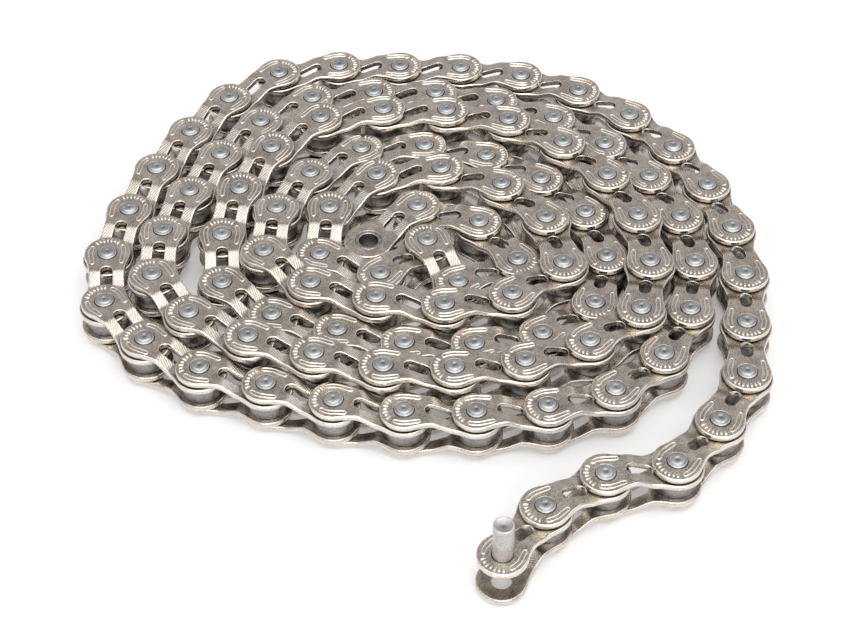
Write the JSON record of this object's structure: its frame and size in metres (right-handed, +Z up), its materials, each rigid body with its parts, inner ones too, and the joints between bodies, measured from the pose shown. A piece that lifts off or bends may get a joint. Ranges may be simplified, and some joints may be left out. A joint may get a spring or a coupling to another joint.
{
  "type": "roller chain",
  "caption": "Half-link roller chain of cranked steel plates, bushes, rollers and pins, loosely coiled flat, outer end trailing with its connecting pin standing ready.",
  "frame": {"origin": "centre of the coiled chain's plan, on the surface that its pin heads rest on", "axes": "+Z up, along the pins; +Y along the coil's longest side, away from the free outer end"},
  "size_m": [0.1292, 0.1374, 0.0163],
  "materials": {
    "plate": "nickel plated, satin with bright rounded edges",
    "bush": "ground steel",
    "roller": "polished steel",
    "pin": "bright steel with domed riveted ends"
  },
  "bodies": {
    "link_01": {"link_01_upper_plate": "plate", "link_01_lower_plate": "plate", "link_01_bush": "bush"},
    "roller_01": {"link_01_roller": "roller"},
    "connecting_pin": {"connecting_pin": "pin"},
    "link_02": {"link_02_upper_plate": "plate", "link_02_lower_plate": "plate", "link_02_bush": "bush", "link_02_pin": "pin"},
    "roller_02": {"link_02_roller": "roller"},
    "link_03": {"link_03_upper_plate": "plate", "link_03_lower_plate": "plate", "link_03_bush": "bush", "link_03_pin": "pin"},
    "roller_03": {"link_03_roller": "roller"},
    "link_04": {"link_04_upper_plate": "plate", "link_04_lower_plate": "plate", "link_04_bush": "bush", "link_04_pin": "pin"},
    "roller_04": {"link_04_roller": "roller"},
    "link_05": {"link_05_upper_plate": "plate", "link_05_lower_plate": "plate", "link_05_bush": "bush", "link_05_pin": "pin"},
    "roller_05": {"link_05_roller": "roller"},
    "link_06": {"link_06_upper_plate": "plate", "link_06_lower_plate": "plate", "link_06_bush": "bush", "link_06_pin": "pin"},
    "roller_06": {"link_06_roller": "roller"},
    "link_100": {"link_100_upper_plate": "plate", "link_100_lower_plate": "plate", "link_100_bush": "bush", "link_100_pin": "pin"},
    "roller_100": {"link_100_roller": "roller"},
    "link_07": {"link_07": "plate"},
    "link_08": {"link_08": "plate"},
    "link_09": {"link_09": "plate"},
    "link_10": {"link_10": "plate"},
    "link_11": {"link_11": "plate"},
    "link_12": {"link_12": "plate"},
    "link_13": {"link_13": "plate"},
    "link_14": {"link_14": "plate"},
    "link_15": {"link_15": "plate"},
    "coil": {"links_16_to_21": "plate", "links_22_to_27": "plate", "links_28_to_33": "plate", "links_34_to_39": "plate", "links_40_to_45": "plate", "links_46_to_51": "plate", "links_52_to_57": "plate", "links_58_to_63": "plate", "links_64_to_69": "plate", "links_70_to_75": "plate", "links_76_to_81": "plate", "links_82_to_87": "plate", "links_88_to_93": "plate", "links_94_to_99": "plate"}
  },
  "joints": [
    {"name": "hinge_15", "type": "hinge", "parent": "coil", "child": "link_15", "pos_m": [-0.00511, 0.06367, 0.0046], "axis": [0, 0, 1], "range_deg": [0, 60]},
    {"name": "hinge_14", "type": "hinge", "parent": "link_15", "child": "link_14", "pos_m": [0.00758, 0.06323, 0.0046], "axis": [0, 0, -1], "range_deg": [-60, 0]},
    {"name": "hinge_13", "type": "hinge", "parent": "link_14", "child": "link_13", "pos_m": [0.02, 0.06059, 0.0046], "axis": [0, 0, 1], "range_deg": [0, 60]},
    {"name": "hinge_12", "type": "hinge", "parent": "link_13", "child": "link_12", "pos_m": [0.0317, 0.05563, 0.0046], "axis": [0, 0, -1], "range_deg": [-60, 0]},
    {"name": "hinge_11", "type": "hinge", "parent": "link_12", "child": "link_11", "pos_m": [0.0417, 0.04781, 0.0046], "axis": [0, 0, 1], "range_deg": [0, 60]},
    {"name": "hinge_10", "type": "hinge", "parent": "link_11", "child": "link_10", "pos_m": [0.0497, 0.03794, 0.0046], "axis": [0, 0, -1], "range_deg": [-60, 0]},
    {"name": "hinge_09", "type": "hinge", "parent": "link_10", "child": "link_09", "pos_m": [0.05546, 0.02662, 0.0046], "axis": [0, 0, 1], "range_deg": [0, 60]},
    {"name": "hinge_08", "type": "hinge", "parent": "link_09", "child": "link_08", "pos_m": [0.05896, 0.01442, 0.0046], "axis": [0, 0, -1], "range_deg": [-60, 0]},
    {"name": "hinge_07", "type": "hinge", "parent": "link_08", "child": "link_07", "pos_m": [0.06007, 0.00177, 0.0046], "axis": [0, 0, 1], "range_deg": [0, 60]},
    {"name": "hinge_06", "type": "hinge", "parent": "link_07", "child": "link_06", "pos_m": [0.05896, -0.01089, 0.0046], "axis": [0, 0, -1], "range_deg": [-60, 5]},
    {"name": "hinge_05", "type": "hinge", "parent": "link_06", "child": "link_05", "pos_m": [0.05763, -0.02352, 0.0046], "axis": [0, 0, 1], "range_deg": [-10, 90]},
    {"name": "hinge_04", "type": "hinge", "parent": "link_05", "child": "link_04", "pos_m": [0.05167, -0.03473, 0.0046], "axis": [0, 0, -1], "range_deg": [-90, 15]},
    {"name": "hinge_03", "type": "hinge", "parent": "link_04", "child": "link_03", "pos_m": [0.04334, -0.04432, 0.0046], "axis": [0, 0, 1], "range_deg": [-25, 100]},
    {"name": "hinge_02", "type": "hinge", "parent": "link_03", "child": "link_02", "pos_m": [0.03092, -0.04696, 0.0046], "axis": [0, 0, -1], "range_deg": [-75, 50]},
    {"name": "hinge_01", "type": "hinge", "parent": "link_02", "child": "link_01", "pos_m": [0.02039, -0.05406, 0.0046], "axis": [0, 0, 1], "range_deg": [-100, 80]},
    {"name": "hinge_99", "type": "hinge", "parent": "coil", "child": "link_100", "pos_m": [-0.00134, 0.02062, 0.0046], "axis": [0, 0, 1], "range_deg": [-1, 1.5]},
    {"name": "roller_01_spin", "type": "hinge", "parent": "link_01", "child": "roller_01", "pos_m": [0.02039, -0.05406, 0.0046], "axis": [0, 0, 1], "continuous": true},
    {"name": "roller_02_spin", "type": "hinge", "parent": "link_02", "child": "roller_02", "pos_m": [0.03092, -0.04696, 0.0046], "axis": [0, 0, 1], "continuous": true},
    {"name": "roller_03_spin", "type": "hinge", "parent": "link_03", "child": "roller_03", "pos_m": [0.04334, -0.04432, 0.0046], "axis": [0, 0, 1], "continuous": true},
    {"name": "roller_04_spin", "type": "hinge", "parent": "link_04", "child": "roller_04", "pos_m": [0.05167, -0.03473, 0.0046], "axis": [0, 0, 1], "continuous": true},
    {"name": "roller_05_spin", "type": "hinge", "parent": "link_05", "child": "roller_05", "pos_m": [0.05763, -0.02352, 0.0046], "axis": [0, 0, 1], "continuous": true},
    {"name": "roller_06_spin", "type": "hinge", "parent": "link_06", "child": "roller_06", "pos_m": [0.05896, -0.01089, 0.0046], "axis": [0, 0, 1], "continuous": true},
    {"name": "roller_100_spin", "type": "hinge", "parent": "link_100", "child": "roller_100", "pos_m": [-0.01063, 0.01195, 0.0046], "axis": [0, 0, 1], "continuous": true},
    {"name": "connecting_pin_press", "type": "slide", "parent": "link_01", "child": "connecting_pin", "axis": [0, 0, 1], "range_m": [-0.00715, 0]}
  ]
}
